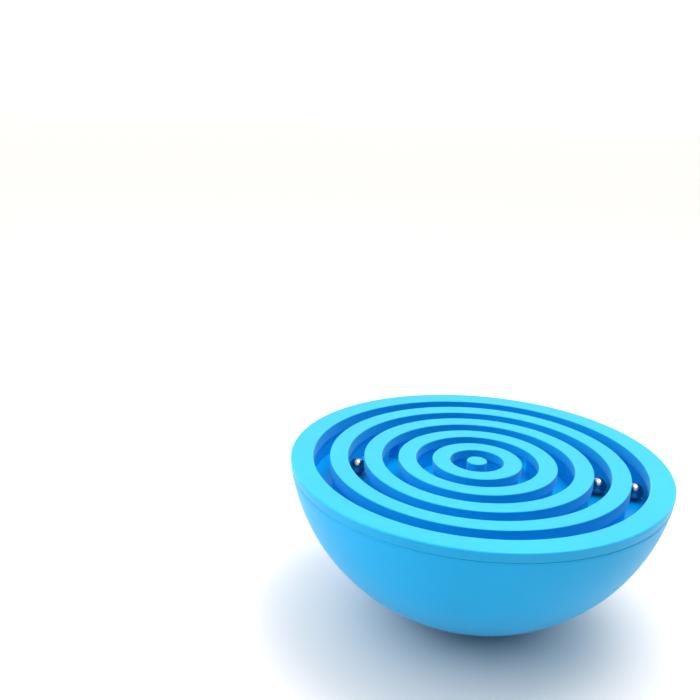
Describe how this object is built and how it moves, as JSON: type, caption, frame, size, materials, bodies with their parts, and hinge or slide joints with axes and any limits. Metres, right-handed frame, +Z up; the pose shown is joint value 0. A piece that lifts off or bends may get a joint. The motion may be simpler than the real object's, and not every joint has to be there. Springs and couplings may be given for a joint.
{
  "type": "labyrinth ball puzzle",
  "caption": "Rocking half-ball bowl whose flat top is a labyrinth of ring channels; small steel balls roll round them and through low doorways to the middle.",
  "frame": {"origin": "centre of the small flat foot under the bowl, on the surface it stands on", "axes": "+Z up along the bowl's axis; +X towards the side where two of the balls rest; +Y away from the viewer"},
  "size_m": [0.105, 0.105, 0.0463],
  "materials": {
    "shell_plastic": "satin",
    "cap_plastic": "satin",
    "tray_plastic": "satin",
    "ball_steel": "polished"
  },
  "bodies": {
    "bowl": {"shell": "shell_plastic", "tray_floor": "tray_plastic", "tray_outer_wall": "tray_plastic", "tray_stud": "tray_plastic", "tray_wall_1": "tray_plastic", "tray_wall_2": "tray_plastic", "tray_wall_3": "tray_plastic", "tray_wall_4": "tray_plastic", "post_cap": "cap_plastic", "ring_cap_1": "cap_plastic", "ring_cap_2": "cap_plastic", "ring_cap_3": "cap_plastic", "ring_cap_4": "cap_plastic", "rim": "shell_plastic"},
    "ball_1": {"ball_1": "ball_steel"},
    "ball_2": {"ball_2": "ball_steel"},
    "ball_3": {"ball_3": "ball_steel"}
  },
  "joints": [
    {"name": "ball_1_round_channel", "type": "hinge", "parent": "bowl", "child": "ball_1", "pos_m": [0, 0, 0.03931], "axis": [0, 0, 1], "range_deg": [-83, 88]},
    {"name": "ball_2_round_channel", "type": "hinge", "parent": "bowl", "child": "ball_2", "pos_m": [0, 0, 0.03931], "axis": [0, 0, 1], "range_deg": [-87, 78]},
    {"name": "ball_3_round_channel", "type": "hinge", "parent": "bowl", "child": "ball_3", "pos_m": [0, 0, 0.03931], "axis": [0, 0, 1], "continuous": true}
  ]
}
